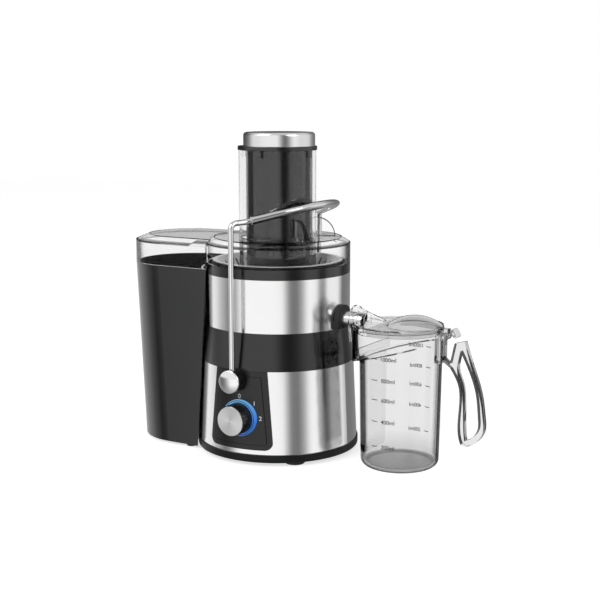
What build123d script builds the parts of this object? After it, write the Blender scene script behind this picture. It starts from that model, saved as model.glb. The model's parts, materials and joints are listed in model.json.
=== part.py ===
from build123d import *
import os

# Centrifugal juicer: steel and black plastic base, clear cover with feed chute,
# wire locking arm, pulp bin at -X, spout and jug at +X, control panel at -Y.
# Millimetres, +Z up, origin on the motor axis at table height.

# Heights of the stacked outer pieces, from the table up
FOOT_HEIGHT = 4.0
RIM_HEIGHT = 10.0
LOWER_HEIGHT = 101.0
WAIST_HEIGHT = 45.0
UPPER_HEIGHT = 64.0
RING_HEIGHT = 12.2
SKIRT_HEIGHT = 24.3
CROWN_HEIGHT = 7.0
CHUTE_RISE = 106.3

# Outer radii of the base unit
LOWER_R = 100.0
RIM_LIP = 1.5
LOWER_FLARE = 4.5
WAIST_FLARE = 4.9

# Walls and clearances
SKIN = 0.8
WALL = 2.5
CLEAR_WALL = 2.4
FIT = 0.1
GAP = 0.3
RUNNING = 0.05
ROOM = 2.0

# Control panel and speed knob
PANEL_X = 3.5
PANEL_TOP_HALF = 35.0
PANEL_BOTTOM_HALF = 43.5
PANEL_LOW = 5.5
PANEL_CORNER = 9.0
PANEL_PROUD = 0.8
PANEL_STEP = 0.5
PANEL_MARGIN = 7.0
PANEL_GROOVE = 0.9
KNOB_X = 6.2
KNOB_RISE = 44.0
KNOB_R = 19.0
KNOB_LENGTH = 18.8
KNOB_TAPER = 0.6
KNOB_EDGE = 0.8
KNOB_FLUTES = 30
FLUTE_R = 0.7
FACE_R = 17.8
FACE_DEPTH = 1.2
LIGHT_R = 22.2
LIGHT_WALL = 1.6
LIGHT_PROUD = 0.8
LIGHT_GROOVE = 0.35
PAD_PROUD = 1.2
SWITCH_SHAFT_R = 3.0
SWITCH_SIZE = 24.0
SWITCH_DEPTH = 18.0
SWITCH_EDGE = 2.0
BUSHING_R = 5.0
TERMINAL_WIDTH = 2.0
TERMINAL_HEIGHT = 6.0
TERMINAL_LENGTH = 7.0

# Locking arm
PIVOT_DROP = 11.5
PIN_R = 4.0
PIN_HEAD_R = 6.5
PIN_HEAD = 2.0
BOSS_R = 14.5
BOSS_DEPTH = 12.0
BOSS_PROUD = 3.5
HUB_R = 13.6
HUB_LENGTH = 11.5
CAP_R = 14.2
CAP_LENGTH = 3.8
CAP_DOME = 1.7
CAP_ROUND = 1.3
WIRE_R = 3.3
WIRE_SEAT = 6.0
ARM_OVER = 24.5
ARM_CORNER = 8.0
ARM_STUB_X = 8.0
ARM_STUB_Y = 16.0
ARM_STUB_BEND = 38.0
ARM_RISE = 17.5
ARM_FLAT = 40.0
ARM_BEND = 80.0
GRIP_WIDTH = 16.5
GRIP_HEIGHT = 9.8
GRIP_START = 0.12
CHUTE_TO_GRIP = 10.0

# Clear cover with feed chute
CHUTE_R = 47.8
CHUTE_WALL = 2.4
CHUTE_TO_DISC = 4.0
BEVEL = 11.0
WING_R = 24.0
WING_WIDTH = 5.0
WING_TURN = 30.0
WING_FOOT = 2.2
LOBE_OFFSET = 42.8
LOBE_R = 70.0
LOBE_DROP = 6.9
LOBE_STEP = 3.0
LOBE_BEVEL = 17.0
DUCT_HALF = 58.0

# Pusher
PUSHER_ROOM = 4.2
PUSHER_SHIFT = 2.6
PUSHER_WALL = 2.4
PUSHER_TO_DISC = 8.0
FLANGE_LIP = 1.2
FLANGE_HEIGHT = 5.2
TAB_SIZE = 9.0
TAB_WIDTH = 8.0
PUSHER_CAP_INSET = 3.6
PUSHER_CAP_HEIGHT = 16.8
PUSHER_CAP_ROUND = 4.0

# Juice bowl, strainer and spout
DECK_DROP = 10.0
DECK = 3.0
COLLAR_R = 19.0
COLLAR_WALL = 3.0
COLLAR_RISE = 14.0
BOWL_FLOOR = 3.0
BOWL_TUBE_RISE = 32.0
BOWL_RING_LIP = 1.5
BASKET_ROOM = 6.2
BASKET_LIP = 4.0
BASKET_FLARE = 20.0
BASKET_DEPTH = 31.0
BASKET_PROUD = 3.2
BASKET_WALL = 1.0
BASKET_SLOTS = 36
SLOT_WIDTH = 3.0
DISC_INSET = 2.0
DISC = 1.6
TEETH_RINGS = 5
TEETH_PER_RING = 9
TEETH_TURN = 14.0
TOOTH = 1.5
TOOTH_LENGTH = 3.0
HUB_DEPTH = 12.0
BASKET_HUB_R = 26.0
COUPLING_R = 14.0
COUPLING_HEIGHT = 22.0
COUPLING_LIP = 4.0
LUG_R = 3.5
LUG_HEIGHT = 6.0
LUG_RING_R = 8.5
SEAL_LIP = 3.0
SPOUT_RISE = 11.0
SPOUT_R = 10.0
SPOUT_WALL = 1.2
SPOUT_REACH = 33.4
SPOUT_CUT = 6.0
GASKET_R = 17.5
GASKET_PROUD = 4.5

# Motor
SHAFT_R = 4.0
SHAFT_RISE = 20.0
STATOR_R = 42.0
STATOR_RISE = 66.0
STATOR_HEIGHT = 34.0
STATOR_BORE = 25.5
AIR_GAP = 0.6
WINDING_HEIGHT = 7.0
CORE_SLOTS = 12
CORE_SLOT = 3.0
COMMUTATOR_R = 12.0
COMMUTATOR_HEIGHT = 12.0
COMMUTATOR_BARS = 16
BAR_GAP = 0.5
BRACKET = 5.0
BRACKET_LEG_R = 4.0
BEARING_R = 11.0
BEARING_HEIGHT = 7.0
BEARING_RIM = 3.0
BRUSH_SIZE = 6.0
BRUSH_LENGTH = 12.0
HOLDER_WALL = 1.5
LOWER_BRACKET_DROP = 23.0
FAN_R = 38.0
FAN_HEIGHT = 13.0
FAN_HUB_R = 9.0
FAN_PLATE = 2.0
FAN_BLADES = 9
FAN_BLADE = 1.6
DAMPER_RING_R = 56.0
DAMPER_R = 7.0
DAMPER_HEIGHT = 10.0
POST_R = 5.5
SCREW_R = 2.0
SCREW_HEAD_R = 3.8
SCREW_HEAD = 2.4

# Base pan
PAN = 3.0
FOOT_INSET = 16.5
FOOT_R = 12.4
FOOT_STEM_R = 4.0
VENT_RING_R = 34.0
VENT_R = 4.0
VENTS = 10
PAN_SCREW_INSET = 9.2
PAN_SCREW_LENGTH = 16.0
BOARD_LENGTH = 52.0
BOARD_WIDTH = 44.0
BOARD = 1.6
BOARD_X = -54.0
BOARD_POST_R = 3.2
BOARD_POST = 8.0
BOARD_PARTS = 12.0
GLAND_RISE = 18.0
GLAND_R = 7.5
GLAND_FLANGE_R = 10.0
GLAND_FLANGE = 3.0
GLAND_BORE_R = 3.6
GLAND_PROUD = 6.0
MICRO_LENGTH = 20.0
MICRO_WIDTH = 8.0
MICRO_HEIGHT = 11.0

# Pulp bin
BIN_LOW_X = 122.0
BIN_LOW_R = 70.0
BIN_FOOT = 3.0
BIN_FOOT_R = 6.0
BIN_FOOT_X = 92.0
BIN_WALL = 2.6
BIN_BODY_GAP = 2.0

# Jug
JUG_OFFSET = 80.9
JUG_TOP_R = 50.0
JUG_TAPER = 3.0
JUG_RIM_DROP = 4.0
JUG_WALL = 2.6
JUG_FLOOR = 4.0
JUG_BASE_ROUND = 9.0
LIP_SHIFT = 7.0
LIP_GROW = 2.0
LIP_DEPTH = 42.4
LIP_SLOPE = 15.7
SEPARATOR_SHIFT = 36.0
SEPARATOR = 2.0
SEPARATOR_LOW = 16.0
SEPARATOR_DROP = 21.0
LID = 2.6
LID_SKIRT = 5.0
LID_OVERHANG = 0.8
LID_PLUG = 5.0
LID_PLUG_ROOM = 1.6
LID_PLUG_WALL = 2.2
DOME_RISE = 12.0
HOOD_R = 16.5
HOOD_WALL = 2.0
HOOD_PLATE_R = 18.5
HOOD_PLATE = 3.0
HOOD_LEAN = 12.0
HOOD_LOW = 22.0
HOOD_OUT = 3.0
HOOD_LENGTH = 41.0
HOOD_END_R = 3.0
SPOUT_ROOM = 1.5
HINGE_OUT = 2.5
HINGE_DROP = 4.5
HINGE_PIN_R = 1.6
KNUCKLE_R = 4.2
KNUCKLE_WIDTH = 10.0
EAR = 3.0
LEVER_LENGTH = 13.4
LEVER_ANGLE = 22.0
LEVER_R = 3.3
PADDLE_LENGTH = 5.4
PADDLE_TURN = 10.0
BRACKET_DEPTH = 5.0
BRACKET_DROP = 36.0
BRACKET_RIM_DROP = 2.0
JUG_BRACKET_HALF = 11.0
HANDLE_RISE = 5.5
HANDLE_LOW = 34.5
HANDLE_REACH = 53.0
HANDLE_HALF = 5.3
HANDLE_ROUND = 0.8

# Handle outlines as shares of its reach and of its height
HANDLE_STRUT = ((0, 0.819), (0.190, 0.764), (0.289, 0.957), (0.528, 0.984))
HANDLE_BACK = ((0.528, 0.984), (0.742, 0.717), (0.908, 0.512), (0.996, 0.287), (1, 0.161),
               (0.881, 0.071), (0.594, 0))
HANDLE_FRONT = ((0.481, 0.016), (0.436, 0.453), (0.389, 0.583), (0.302, 0.657), (0.198, 0.724), (0, 0.783))
HANDLE_GAP_BACK = ((0.434, 0.890), (0.645, 0.713), (0.813, 0.513), (0.877, 0.294), (0.870, 0.177),
                   (0.736, 0.094), (0.575, 0.055))
HANDLE_GAP_FRONT = ((0.541, 0.201), (0.526, 0.453), (0.477, 0.587), (0.396, 0.673), (0.374, 0.768))

# Heights and radii that follow from the stack
z_lower = FOOT_HEIGHT + RIM_HEIGHT
z_waist = z_lower + LOWER_HEIGHT
z_upper = z_waist + WAIST_HEIGHT
z_ring = z_upper + UPPER_HEIGHT
z_mouth = z_ring + RING_HEIGHT
z_edge = z_mouth + SKIRT_HEIGHT
z_crown = z_edge + CROWN_HEIGHT
z_chute = z_crown + CHUTE_RISE
z_deck = z_upper - DECK_DROP
z_bowl = z_deck + DECK
z_basket_rim = z_mouth + BASKET_PROUD
z_basket = z_basket_rim - BASKET_DEPTH
z_hub = z_basket - HUB_DEPTH
z_disc = z_basket + BASKET_WALL + DISC
z_chute_low = z_disc + TOOTH + CHUTE_TO_DISC
z_pusher = z_disc + TOOTH + PUSHER_TO_DISC
z_pan = FOOT_HEIGHT + PAN
z_lobe = z_mouth - LOBE_DROP
z_bin_top = z_lobe - GAP
rim_r = LOWER_R + RIM_LIP
waist_r = LOWER_R - LOWER_FLARE
upper_r = waist_r - WAIST_FLARE
bowl_r = upper_r - SKIN - FIT
bowl_in = bowl_r - WALL
foot_ring_r = rim_r - FOOT_INSET
pan_screw_r = LOWER_R - PAN_SCREW_INSET

# Places on the front, the motor and the arm
knob_z = z_lower + KNOB_RISE
pivot_z = z_waist - PIVOT_DROP
arm_top = z_crown + ARM_OVER
gland_z = z_lower + GLAND_RISE
shaft_low = z_lower + SHAFT_RISE
stator_low = z_lower + STATOR_RISE
z_bracket = stator_low + STATOR_HEIGHT
z_lower_bracket = stator_low - LOWER_BRACKET_DROP

# Cover, pusher and strainer
lobe_x = upper_r + LOBE_OFFSET
chute_in = CHUTE_R - CHUTE_WALL
pusher_r = chute_in - PUSHER_ROOM
flange_r = CHUTE_R + FLANGE_LIP
pusher_cap_r = CHUTE_R - PUSHER_CAP_INSET
basket_rim_r = bowl_in - BASKET_ROOM
basket_top_r = basket_rim_r - BASKET_LIP
basket_low_r = basket_top_r - BASKET_FLARE
disc_r = basket_low_r - DISC_INSET

# Spout and jug
spout_z = z_upper + SPOUT_RISE
spout_tip = upper_r + SPOUT_REACH
jug_x = upper_r + JUG_OFFSET
jug_height = spout_z - JUG_RIM_DROP
jug_low_r = JUG_TOP_R - JUG_TAPER
lip_r = JUG_TOP_R + LIP_GROW
lip_low = jug_height - LIP_DEPTH
separator_x = jug_x - SEPARATOR_SHIFT
separator_top = jug_height - SEPARATOR_DROP
dome_r = 0.68 * JUG_TOP_R
dome_x = jug_x + 0.36 * JUG_TOP_R
hood_x = jug_x - LIP_SHIFT - lip_r - HOOD_OUT
slot_r = SPOUT_R + SPOUT_ROOM
slot_end = spout_tip + 2 * SPOUT_ROOM
lid_top = jug_height + LID_SKIRT
bracket_face = jug_x + JUG_TOP_R + BRACKET_DEPTH
bracket_top = jug_height - BRACKET_RIM_DROP
bracket_low = jug_height - BRACKET_DROP
hinge_x = bracket_face + HINGE_OUT
hinge_z = jug_height - HINGE_DROP
handle_top = jug_height - HANDLE_RISE
SIDES = (-1, 1)


def disc(radius, low, high, x=0.0, y=0.0):
    """Upright cylinder between two heights."""
    return Pos(x, y, low) * Cylinder(radius, high - low, align=(Align.CENTER, Align.CENTER, Align.MIN))


def tube(outer, inner, low, high, x=0.0, y=0.0):
    """Upright ring between two heights."""
    return disc(outer, low, high, x, y) - disc(inner, low, high, x, y)


def rod(radius, start, end):
    """Round bar between two points."""
    span = Vector(*end) - Vector(*start)
    seat = Plane(Vector(*start), z_dir=span)
    return seat * Cylinder(radius, span.length, align=(Align.CENTER, Align.CENTER, Align.MIN))


def block(low, high):
    """Box between its lowest and highest corners."""
    size = [b - a for a, b in zip(low, high)]
    return Pos(*low) * Box(*size, align=(Align.MIN, Align.MIN, Align.MIN))


def outline(*points):
    """Flat face inside a closed row of points."""
    return make_face(Polyline(*points, close=True))


def spun(*points):
    """Solid turned about the motor axis from an outline of radius and height."""
    return revolve(Plane.XZ * outline(*points), Axis.Z)


def ring_places(count, radius, first=0.0):
    """Points spaced evenly on a circle about the motor axis."""
    return [Pos(p.X, p.Y, 0) for p in (Vector(radius, 0).rotate(Axis.Z, first + 360 * i / count)
                                       for i in range(count))]


def lower_r(z):
    """Radius of the flared lower steel at a height."""
    return LOWER_R + (waist_r - LOWER_R) * (z - z_lower) / LOWER_HEIGHT


def flare(offset):
    """Solid cone of the lower body, moved out from the steel's outer face."""
    return spun((0, z_lower), (LOWER_R + offset, z_lower), (waist_r + offset, z_waist), (0, z_waist))


def front_prism(margin):
    """Control panel's outline, drawn smaller by a margin and driven out of the front."""
    low, high = z_lower + PANEL_LOW + margin, z_waist - margin
    low_half, top_half = PANEL_BOTTOM_HALF - margin, PANEL_TOP_HALF - margin
    face = outline((PANEL_X - low_half, low), (PANEL_X + low_half, low),
                   (PANEL_X + top_half, high), (PANEL_X - top_half, high))
    face = fillet(face.vertices().group_by(Axis.Y)[0], max(PANEL_CORNER - margin, PANEL_CORNER / 4))
    return extrude(Plane.XZ * face, rim_r * 1.5)


boss_end = lower_r(pivot_z) + BOSS_PROUD
boss_inner = lower_r(pivot_z) - BOSS_DEPTH
hub_start = boss_end + GAP
hub_end = hub_start + HUB_LENGTH
wire_y = hub_start + HUB_LENGTH / 2
skin_back = -SKIN - FIT
pad_y = lower_r(knob_z) + PANEL_PROUD + PANEL_STEP + PAD_PROUD
pad_r = LIGHT_R - LIGHT_WALL
housing_in = lower_r(knob_z) + skin_back - WALL
switch_face = housing_in - WALL
knob_start = pad_y + 2 * GAP
knob_end = knob_start + KNOB_LENGTH


def front_rod(radius, start, end):
    """Round bar on the knob's axis, between two distances out from the motor axis."""
    return rod(radius, (KNOB_X, -start, knob_z), (KNOB_X, -end, knob_z))


def hinge_rod(radius, half):
    """Round bar on the lid hinge's axis, reaching equally to both sides."""
    return rod(radius, (hinge_x, -half, hinge_z), (hinge_x, half, hinge_z))


def pivot_room(side):
    """Space that the arm's pivot boss takes through the lower walls."""
    return rod(BOSS_R + GAP, (0, side * boss_inner, pivot_z), (0, side * rim_r * 1.2, pivot_z))


def base_pan():
    pan = spun((0, FOOT_HEIGHT), (rim_r, FOOT_HEIGHT), (rim_r, z_lower), (0, z_lower))
    pan = fillet(pan.edges().group_by(Axis.Z)[0], RIM_HEIGHT * 0.3)
    inner = lower_r(z_lower) + skin_back - WALL
    pan -= disc(inner, z_pan, z_lower)
    pan += [spot * disc(BOARD_POST_R, z_pan, z_pan + BOARD_POST) for spot in board_posts()]
    pan -= [spot * disc(FOOT_STEM_R, FOOT_HEIGHT, z_pan) for spot in ring_places(4, foot_ring_r, 45)]
    pan -= [spot * disc(VENT_R, FOOT_HEIGHT, z_pan) for spot in ring_places(VENTS, VENT_RING_R)]
    for spot in ring_places(4, pan_screw_r):
        pan -= spot * disc(SCREW_R + FIT, FOOT_HEIGHT, z_pan)
        pan -= spot * disc(SCREW_HEAD_R + FIT, FOOT_HEIGHT, FOOT_HEIGHT + PAN / 2)
    return pan


def rubber_feet():
    foot = disc(FOOT_R, 0, FOOT_HEIGHT)
    foot = chamfer(foot.edges().group_by(Axis.Z)[0], FOOT_HEIGHT * 0.25)
    foot += disc(FOOT_STEM_R, FOOT_HEIGHT, z_pan)
    return [spot * foot for spot in ring_places(4, foot_ring_r, 45)]


def pan_screws():
    head_top = FOOT_HEIGHT + PAN / 2
    screw = disc(SCREW_HEAD_R, head_top - SCREW_HEAD / 2, head_top)
    screw += disc(SCREW_R, head_top, head_top + PAN_SCREW_LENGTH)
    return [spot * screw for spot in ring_places(4, pan_screw_r)]


def lower_housing():
    shell = flare(skin_back) - flare(skin_back - WALL)
    boss_top = z_pan + PAN_SCREW_LENGTH
    for spot in ring_places(4, pan_screw_r):
        shell += (spot * disc(POST_R + WALL, z_lower, boss_top)) & flare(skin_back)
        shell += spot * disc(POST_R, z_pan, z_lower)
        shell -= spot * disc(SCREW_R, z_pan, boss_top)
    seat = front_rod(SWITCH_SIZE * 0.4, switch_face, lower_r(knob_z))
    shell += seat & flare(skin_back)
    shell -= front_rod(BUSHING_R + FIT, switch_face, rim_r)
    shell -= rod(GLAND_R, (0, housing_in - WALL, gland_z), (0, rim_r, gland_z))
    for side in SIDES:
        shell -= pivot_room(side)
    return shell


def lower_skin():
    skin = flare(0) - flare(-SKIN)
    skin -= front_prism(0)
    skin -= rod(GLAND_R, (0, housing_in, gland_z), (0, rim_r, gland_z))
    for side in SIDES:
        skin -= pivot_room(side)
    return skin


def control_panel():
    plate = flare(PANEL_PROUD + PANEL_STEP)
    panel = flare(PANEL_PROUD) & front_prism(FIT)
    panel += plate & front_prism(PANEL_MARGIN)
    panel -= front_prism(PANEL_MARGIN - PANEL_GROOVE) - front_prism(PANEL_MARGIN) & plate - flare(0)
    panel += front_rod(pad_r, lower_r(knob_z) * 0.9, pad_y)
    panel -= flare(skin_back)
    panel -= front_rod(BUSHING_R + FIT, 0, pad_y)
    panel -= pivot_room(-1)
    return panel


def light_ring():
    face = pad_y + LIGHT_PROUD
    inner = KNOB_R + GAP
    ring = front_rod(LIGHT_R, pad_y, face) - front_rod(inner, pad_y, face)
    ring += front_rod(LIGHT_R, pad_y * 0.9, pad_y) - front_rod(pad_r, pad_y * 0.9, pad_y)
    ring -= flare(PANEL_PROUD + PANEL_STEP)
    middle = (LIGHT_R + inner) / 2
    floor = face - LIGHT_PROUD / 2
    groove = front_rod(middle + LIGHT_GROOVE, floor, face) - front_rod(middle - LIGHT_GROOVE, floor, face)
    return ring - groove


def rotary_switch():
    half = SWITCH_SIZE / 2
    back = switch_face - SWITCH_DEPTH
    body = block((KNOB_X - half, -switch_face, knob_z - half), (KNOB_X + half, -back, knob_z + half))
    body = chamfer(body.edges().filter_by(Axis.Y), SWITCH_EDGE)
    body += front_rod(BUSHING_R, switch_face, pad_y)
    for shift in (-0.25, 0, 0.25):
        left = KNOB_X + shift * SWITCH_SIZE - TERMINAL_WIDTH / 2
        low = knob_z - TERMINAL_HEIGHT / 2
        tip = (left + TERMINAL_WIDTH, -back + TERMINAL_LENGTH, low + TERMINAL_HEIGHT)
        body += block((left, -back, low), tip)
    return body - front_rod(SWITCH_SHAFT_R + RUNNING, switch_face - SWITCH_DEPTH / 2, pad_y)


def switch_shaft():
    return front_rod(SWITCH_SHAFT_R, switch_face - SWITCH_DEPTH / 2 + GAP, knob_start + KNOB_LENGTH * 0.6)


def knob_body():
    seat = Plane((KNOB_X, -knob_start, knob_z), z_dir=(0, -1, 0))
    body = Cone(KNOB_R, KNOB_R - KNOB_TAPER, KNOB_LENGTH, align=(Align.CENTER, Align.CENTER, Align.MIN))
    body = chamfer(body.edges().group_by(Axis.Z)[-1], KNOB_EDGE)
    flute = Cylinder(FLUTE_R, KNOB_LENGTH, align=(Align.CENTER, Align.CENTER, Align.MIN))
    body -= [spot * flute for spot in ring_places(KNOB_FLUTES, KNOB_R)]
    body -= Pos(0, 0, KNOB_LENGTH - FACE_DEPTH / 2) * Cylinder(
        FACE_R, FACE_DEPTH, align=(Align.CENTER, Align.CENTER, Align.MIN))
    body -= Cylinder(SWITCH_SHAFT_R, KNOB_LENGTH * 0.6, align=(Align.CENTER, Align.CENTER, Align.MIN))
    return seat * body


def knob_face():
    back = knob_end - FACE_DEPTH / 2
    plate = front_rod(FACE_R, back, back + FACE_DEPTH)
    return chamfer(plate.edges().group_by(Axis.Y)[0], FACE_DEPTH * 0.4)


def waist_housing():
    band = spun((waist_r, z_waist), (upper_r, z_upper), (bowl_r + FIT, z_upper), (bowl_r + FIT, z_bowl),
                (0, z_bowl), (0, z_deck), (bowl_r - WALL, z_deck), (waist_r - 2 * WALL, z_waist))
    band += disc(COLLAR_R, z_deck, z_bowl + COLLAR_RISE)
    for spot in ring_places(4, DAMPER_RING_R, 45):
        band += spot * disc(POST_R, z_bracket + DAMPER_HEIGHT, z_deck)
    for side in SIDES:
        band += rod(BOSS_R, (0, side * boss_inner, pivot_z), (0, side * boss_end, pivot_z))
        band -= rod(PIN_R + RUNNING, (0, side * boss_inner, pivot_z), (0, side * boss_end, pivot_z))
    band -= disc(COLLAR_R - COLLAR_WALL, z_deck, z_bowl + COLLAR_RISE)
    for spot in ring_places(4, DAMPER_RING_R, 45):
        band -= spot * disc(SCREW_R, z_bracket, z_deck)
    return band


def pivot_pins():
    pins = []
    for side in SIDES:
        head = boss_inner - GAP
        pin = rod(PIN_R, (0, side * head, pivot_z), (0, side * hub_end, pivot_z))
        pin += rod(PIN_HEAD_R, (0, side * (head - PIN_HEAD), pivot_z), (0, side * head, pivot_z))
        pins.append(pin)
    return pins


def pivot_hub(side):
    hub = rod(HUB_R, (0, side * hub_start, pivot_z), (0, side * hub_end, pivot_z))
    hub -= rod(PIN_R, (0, side * hub_start, pivot_z), (0, side * hub_end, pivot_z))
    hub -= rod(WIRE_R, (0, side * wire_y, pivot_z + WIRE_SEAT), (0, side * wire_y, pivot_z + 2 * HUB_R))
    return hub


def pivot_caps():
    ball = (CAP_R ** 2 + CAP_DOME ** 2) / (2 * CAP_DOME)
    end = hub_end + CAP_LENGTH
    caps = []
    for side in SIDES:
        cap = rod(CAP_R, (0, side * hub_end, pivot_z), (0, side * end, pivot_z))
        cap &= Pos(0, side * (end - ball), pivot_z) * Sphere(ball)
        rims = cap.edges().filter_by(GeomType.CIRCLE)
        caps.append(fillet(rims.sort_by(lambda e: side * e.center().Y)[-1], CAP_ROUND))
    return caps


def arm_route():
    """Centre line of the bent wire: up the front, round the chute on its spout side, down the back."""
    bow_x = CHUTE_R + CHUTE_TO_GRIP + GRIP_WIDTH / 2
    high = arm_top + ARM_RISE
    stub_y = wire_y - ARM_STUB_Y
    front = [(0, -wire_y, pivot_z + WIRE_SEAT), (0, -wire_y, arm_top),
             (ARM_STUB_X, -stub_y, arm_top), (bow_x, -ARM_FLAT, high)]
    return front + [(x, -y, z) for x, y, z in reversed(front)]


def arm_wire():
    bends = [ARM_CORNER, ARM_STUB_BEND, ARM_BEND]
    route = FilletPolyline(*arm_route(), radius=bends + bends[::-1])
    return sweep(Plane(route @ 0, z_dir=route % 0) * Circle(WIRE_R), route)


def arm_grip(wire):
    stub, bow, bow_end, stub_end = [Vector(*p) for p in arm_route()[2:6]]
    start = stub + (bow - stub) * GRIP_START
    end = stub_end + (bow_end - stub_end) * GRIP_START
    route = FilletPolyline(start, bow, bow_end, end, radius=[ARM_BEND, ARM_BEND])
    across = (bow_end - bow).cross(bow - stub).cross(bow - stub)
    seat = Plane(route @ 0, x_dir=across, z_dir=route % 0)
    return sweep(seat * Ellipse(GRIP_WIDTH / 2, GRIP_HEIGHT / 2), route) - wire


def upper_skin():
    skin = tube(upper_r, upper_r - SKIN, z_upper, z_ring)
    return skin - rod(SPOUT_R + 2 * FIT, (0, 0, spout_z), (upper_r * 1.2, 0, spout_z))


def juice_bowl():
    tube_in = COLLAR_R + GAP
    tube_out = tube_in + WALL
    bowl = spun((tube_in, z_bowl), (bowl_r, z_bowl), (bowl_r, z_ring), (upper_r, z_ring),
                (upper_r, z_mouth), (bowl_in - BOWL_RING_LIP, z_mouth), (bowl_in, z_ring),
                (bowl_in, z_bowl + BOWL_FLOOR), (tube_out, z_bowl + BOWL_FLOOR * 2),
                (tube_out, z_bowl + BOWL_TUBE_RISE), (tube_in, z_bowl + BOWL_TUBE_RISE))
    return bowl - rod(SPOUT_R, (tube_out, 0, spout_z), (upper_r * 1.2, 0, spout_z))


def spout_gasket():
    front = upper_r + GASKET_PROUD
    arch = rod(GASKET_R, (bowl_r, 0, spout_z), (front, 0, spout_z))
    arch += block((upper_r * 0.9, -GASKET_R, z_upper), (front, GASKET_R, spout_z))
    arch &= block((0, -GASKET_R, z_upper), (front, GASKET_R, spout_z + GASKET_R))
    arch -= disc(upper_r, z_upper, z_ring)
    return arch - rod(SPOUT_R, (0, 0, spout_z), (front, 0, spout_z))


def spout_tube():
    pipe = rod(SPOUT_R, (bowl_in - WALL, 0, spout_z), (spout_tip, 0, spout_z))
    pipe -= rod(SPOUT_R - SPOUT_WALL, (bowl_in - WALL, 0, spout_z), (spout_tip, 0, spout_z))
    cut = Plane.XZ * outline((spout_tip, spout_z - SPOUT_R), (spout_tip, spout_z + SPOUT_R),
                             (spout_tip - SPOUT_CUT, spout_z - SPOUT_R))
    return pipe - extrude(cut, SPOUT_R, both=True)


def bell(wall):
    """Solid of the cover's round part over the bowl, drawn in by a wall."""
    top = z_crown - wall
    edge = z_edge - wall / 2
    r = upper_r - wall
    return spun((0, z_mouth), (r, z_mouth), (r, edge), (upper_r - BEVEL - wall / 2, top), (0, top))


def lobe_plan(z, x, radius):
    """Flat plan at a height: a round end over the bin, with straight sides back to the motor axis."""
    face = Pos(-x, 0) * Circle(radius) + Pos(-x / 2, 0) * Rectangle(x, 2 * radius)
    return Plane.XY.offset(z) * face


def lobe(wall):
    """Solid of the cover's lobe over the bin, drawn in by a wall."""
    edge = z_edge - LOBE_STEP - wall / 2
    r = LOBE_R - wall
    low = lobe_plan(edge, lobe_x, r)
    top = lobe_plan(z_crown - LOBE_STEP - wall, lobe_x, LOBE_R - LOBE_BEVEL - wall / 2)
    return extrude(lobe_plan(z_lobe, lobe_x, r), edge - z_lobe) + loft([low, top], ruled=True)


def wing():
    """Round-backed rib with a flat foot, between the chute and the cover's top."""
    inner, root = CHUTE_R - CHUTE_WALL / 2, z_crown - CLEAR_WALL / 2
    reach, top = CHUTE_R + WING_R, z_crown + WING_R
    edge = Polyline((CHUTE_R, top), (inner, top), (inner, root), (reach, root), (reach, z_crown))
    face = make_face(edge + CenterArc((CHUTE_R, z_crown), WING_R, 0, 90))
    fin = extrude(Plane.XZ * face, WING_WIDTH / 2, both=True)
    return fin + block((inner, -WING_WIDTH, root), (reach, WING_WIDTH, z_crown + WING_FOOT))


def clear_cover():
    cover = bell(0) + lobe(0)
    cover -= disc(upper_r + GAP, z_lobe, z_mouth)
    cover -= bell(CLEAR_WALL)
    cover -= lobe(CLEAR_WALL)
    cheeks = tube(upper_r, upper_r - CLEAR_WALL, z_mouth, z_edge - LOBE_STEP)
    cheeks &= block((-upper_r, -LOBE_R, z_mouth), (0, LOBE_R, z_edge))
    cover += cheeks - block((-upper_r, -DUCT_HALF, z_mouth), (0, DUCT_HALF, z_edge))
    cover += disc(CHUTE_R, z_chute_low, z_chute)
    cover += [Rot(0, 0, side * WING_TURN) * wing() for side in SIDES]
    return cover - disc(chute_in, z_chute_low, z_chute)


def pusher_body():
    body = disc(pusher_r, z_pusher, z_chute, PUSHER_SHIFT)
    body = fillet(body.edges().group_by(Axis.Z)[0], PUSHER_WALL)
    return body - disc(pusher_r - PUSHER_WALL, z_pusher + PUSHER_WALL, z_chute, PUSHER_SHIFT)


def pusher_flange():
    low, root = z_chute - TAB_SIZE, z_chute + FLANGE_HEIGHT / 2
    flange = disc(flange_r, z_chute, z_chute + FLANGE_HEIGHT)
    flange = fillet(flange.edges(), FLANGE_HEIGHT * 0.15)
    tab = block((pusher_r - PUSHER_SHIFT, -TAB_WIDTH / 2, low), (chute_in - GAP, TAB_WIDTH / 2, root))
    flange += [Rot(0, 0, 90 * i) * tab for i in range(4)]
    flange -= disc(pusher_r + FIT, low, z_chute, PUSHER_SHIFT)
    plug = pusher_r - PUSHER_WALL - FIT
    return flange + tube(plug, plug - PUSHER_WALL, low, root, PUSHER_SHIFT)


def pusher_cap():
    low = z_chute + FLANGE_HEIGHT
    cap = disc(pusher_cap_r, low, low + PUSHER_CAP_HEIGHT, PUSHER_SHIFT)
    return fillet(cap.edges().group_by(Axis.Z)[-1], PUSHER_CAP_ROUND)


def filter_basket():
    low_in, top_in = basket_low_r - BASKET_WALL, basket_top_r - BASKET_WALL
    floor = z_basket + BASKET_WALL
    lip = z_basket_rim - BASKET_WALL
    basket = spun((SHAFT_R, z_basket), (basket_low_r, z_basket), (basket_top_r, lip), (basket_rim_r, lip),
                  (basket_rim_r, z_basket_rim),
                  (top_in, z_basket_rim), (low_in, floor), (SHAFT_R, floor))
    slot_low = z_basket + BASKET_DEPTH * 0.2
    slot_high = z_basket + BASKET_DEPTH * 0.8
    half = SLOT_WIDTH / 2
    slot = block((basket_low_r / 2, -half, slot_low), (basket_rim_r, half, slot_high))
    basket -= [Rot(0, 0, 360 * i / BASKET_SLOTS) * slot for i in range(BASKET_SLOTS)]
    return basket


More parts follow.
